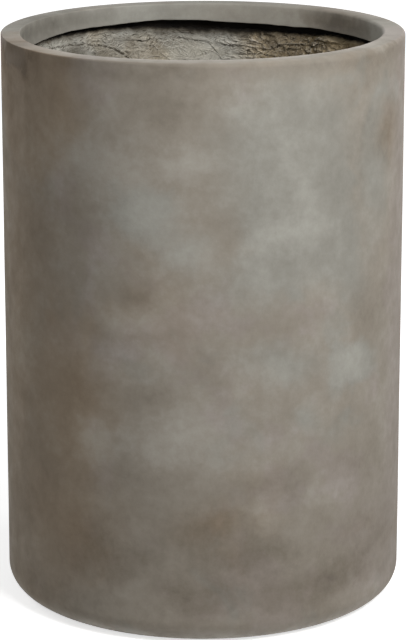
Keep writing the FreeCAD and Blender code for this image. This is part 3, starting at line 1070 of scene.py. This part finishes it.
def make_lining_material():
    """Fibre mat in cement: grey-beige and brown, with painted light on crests, painted shade in hollows and
    creases, and the lip's painted shadow.
    """
    material, shader, coords = new_material("fibre_lining")
    dirt = mapped(noise(coords, 24, 5, 0.6, 0.4), 0.36, 0.68)
    soiled = mapped(noise(coords, 7), 0.54, 0.66, 0, 0.4)
    soiled = mapped(clouds(coords, SOILED_CLOUDS, mat_inside, soiled), 0.1, 0.7)
    pale = mixed(dirt, tint(0.5, 1.02, 0.91), tint(0.4, 1.04, 0.86))
    brown = mixed(dirt, tint(0.38, 1.24, 0.67), tint(0.26, 1.3, 0.57))
    strand = mixed(soiled, tint(0.64, 1.06, 0.89), tint(0.58, 1.16, 0.74))
    bright = mixed(soiled, tint(0.7, 1.06, 0.84), tint(0.5, 1.25, 0.64))
    height = mark(coords, "relief")
    streaks = fibre_streaks(coords)
    tone = clouds(coords, LINING_CLOUDS, mat_inside)
    shade = mark(coords, "shade")
    body = layered(mixed(soiled, pale, brown), (
        # Painted light and shade: crests of the relief, strands too, are painted paler and its hollows darker
        (height, 0.42, 0.8, 0.75, tint(0.56, 1.08, 0.86)),
        (height, 0.14, 0, 0.5, tint(0.14, 1.22, 0.68)),
        (streaks, 0.55, 0.68, 0.8, strand),
        (streaks, 0.45, 0.32, 0.9, tint(0.1, 1.18, 0.74)),
    ))
    body = mixed(fine_cracks(coords, soiled), body, tint(0.05, 1.25, 0.65))
    body = layered(body, (
        # Painted shade along creases: at the feet of scraps' edges, below folds and in grooves
        (mark(coords, "crease_shade"), 0.2, 0.8, 0.9, tint(0.04, 1.25, 0.65)),
        (noise(coords, 520, 2, 0.6), 0.6, 0.72, 0.6, tint(0.66, 1.04, 0.88)),
        (tone, 0, 0.8, 1, bright),
        (tone, 0, -0.8, 1, tint(0.05, 1.28, 0.62)),
        # Painted shadow of the lip on the lining's upper edge: brown, then near-black right under the lip
        (shade, 0, 0.95, 0.9, tint(0.05, 1.3, 0.6)),
        (shade, 0.65, 1, 0.97, tint(0.006, 1.4, 0.6)),
    ))
    feed(shader, {
        "Base Color": body,
        "Roughness": uneven(coords, 120, 4, 0.7, 0.95),
        "Specular IOR Level": CEMENT_SPECULAR,
        "Normal": bump(plus(noise(coords, 800, 3, 0.6), streaks, 2), 0.6, 0.0014),
    })
    return material


def make_mortar_material():
    """Rough grey mortar, painted near-black as shade in the hook of the rim."""
    material, shader, coords = new_material("mortar")
    tone = mapped(noise(coords, 22, 5, 0.6), 0.3, 0.7)
    specks = noise(coords, 420, 2, 0.6)
    body = mixed(tone, tint(0.15, 1.14, 0.8), tint(0.26, 1.1, 0.85))
    body = layered(body, [(specks, 0.58, 0.75, 0.5, tint(0.36, 1.05, 0.88))])
    feed(shader, {
        # Painted shade: near-black on the marked fill in the hook of the rim
        "Base Color": mixed(mark(coords, "painted_recess_shade"), body, tint(0.006, 1.4, 0.6)),
        "Roughness": uneven(coords, 70, 4, 0.82, 0.97),
        "Normal": bump(plus(noise(coords, 600), noise(coords, 130, 4), 2), 0.45, 0.0015),
    })
    return material


def make_rubber_material():
    """Dull black rubber with a little cement dust."""
    material, shader, coords = new_material("stopper_rubber")
    dust = noise(coords, 160, 4, 0.6)
    feed(shader, {
        "Base Color": layered(grey(0.018), [(dust, 0.45, 0.75, 0.7, tint(0.11, 1.08, 0.86))]),
        "Roughness": uneven(coords, 90, 3, 0.5, 0.8),
        "Normal": bump(noise(coords, 700), 0.2, 0.0005),
    })
    return material


lining_material = make_lining_material()
mortar_material = make_mortar_material()

add_turned("face_coat", coat_section, COAT_SEGMENTS, make_face_material(), "face_skin")
add_turned("rim_fill", fill_section, COAT_SEGMENTS, mortar_material, "rim_core")
add_turned("floor_slab", slab_section, FLOOR_SEGMENTS, mortar_material, "base_slab")
add_turned("cove", cove_section, FLOOR_SEGMENTS, mortar_material, "corner_cove")
for index, side in enumerate(SIDES):
    add_mat(side, MAT_TURN_DEG * (index - 0.5), 100 * (index + 1))
plug = frame["nodes"]["drain_plug"]
plug.data.materials.clear()
plug.data.materials.append(make_rubber_material())


# Stage, lights and camera

def seen_directly(tree):
    """1 where the camera sees a surface itself, in a reflection or through glass."""
    path = add_node(tree, "LightPath").outputs
    seen = number("MAXIMUM", path["Is Camera Ray"], path["Is Glossy Ray"])
    return number("MAXIMUM", seen, path["Is Transmission Ray"])


def add_floor():
    """A pale floor that is white to the camera and keeps the planter's shadow."""
    mesh = bpy.data.meshes.new("floor")
    signs = ((-1, -1), (1, -1), (1, 1), (-1, 1))
    mesh.from_pydata([(x * FLOOR_HALF, y * FLOOR_HALF, FLOOR_LEVEL) for x, y in signs], [], [[0, 1, 2, 3]])
    floor = new_object("floor", mesh)
    material, shader, coords = new_material("floor_paper")
    tree = material.node_tree
    away = joined("VectorMath", coords, operation="LENGTH").outputs["Value"]
    reflector = mixed(mapped(away, *DULL_FROM, 1, 0), grey(FLOOR_DULL), grey(FLOOR_GREY))
    feed(shader, {"Base Color": reflector, "Roughness": FLOOR_ROUGHNESS})
    paper = add_node(tree, "BsdfDiffuse", {"Color": grey(FLOOR_GREY)})
    glow = add_node(tree, "Emission", {"Strength": mapped(away, *GLOW_FROM, *GLOW)})
    white = joined("AddShader", paper.outputs["BSDF"], glow.outputs["Emission"])
    choice = joined("MixShader", seen_directly(tree), shader.outputs["BSDF"], white.outputs["Shader"])
    feed(tree.nodes["Material Output"], {"Surface": choice.outputs["Shader"]})
    mesh.materials.append(material)


def add_light(name, place, power):
    """A square area light at a place, turned to the planter."""
    lamp = bpy.data.lights.new(name, "AREA")
    lamp.size = LIGHT_SIZE
    lamp.energy = power
    light = new_object(name, lamp)
    light.location = place
    light.rotation_euler = (Vector(LIGHT_TARGET) - Vector(place)).to_track_quat("-Z", "Y").to_euler()


def add_world():
    """Even studio surroundings: white to the camera, dim as light."""
    world = bpy.data.worlds.new("studio")
    bpy.context.scene.world = world
    world.use_nodes = True
    strength = mapped(seen_directly(world.node_tree), 0, 1, WORLD_LIGHT, 1)
    feed(world.node_tree.nodes["Background"], {"Color": grey(1), "Strength": strength})


def add_camera():
    """The photo's view: from the front, a little above the rim."""
    data = bpy.data.cameras.new("camera")
    data.lens = CAMERA_LENS
    data.sensor_width = CAMERA_SENSOR
    data.shift_y = CAMERA_SHIFT_Y
    camera = new_object("camera", data)
    camera.location = (0, -CAMERA_DISTANCE, CAMERA_HEIGHT)
    camera.rotation_euler = (math.radians(90.0 - CAMERA_PITCH_DEG), 0, 0)
    bpy.context.scene.camera = camera


add_floor()
add_world()
for light in LIGHTS:
    add_light(*light)
add_camera()
bpy.context.scene.view_settings.view_transform = "Standard"
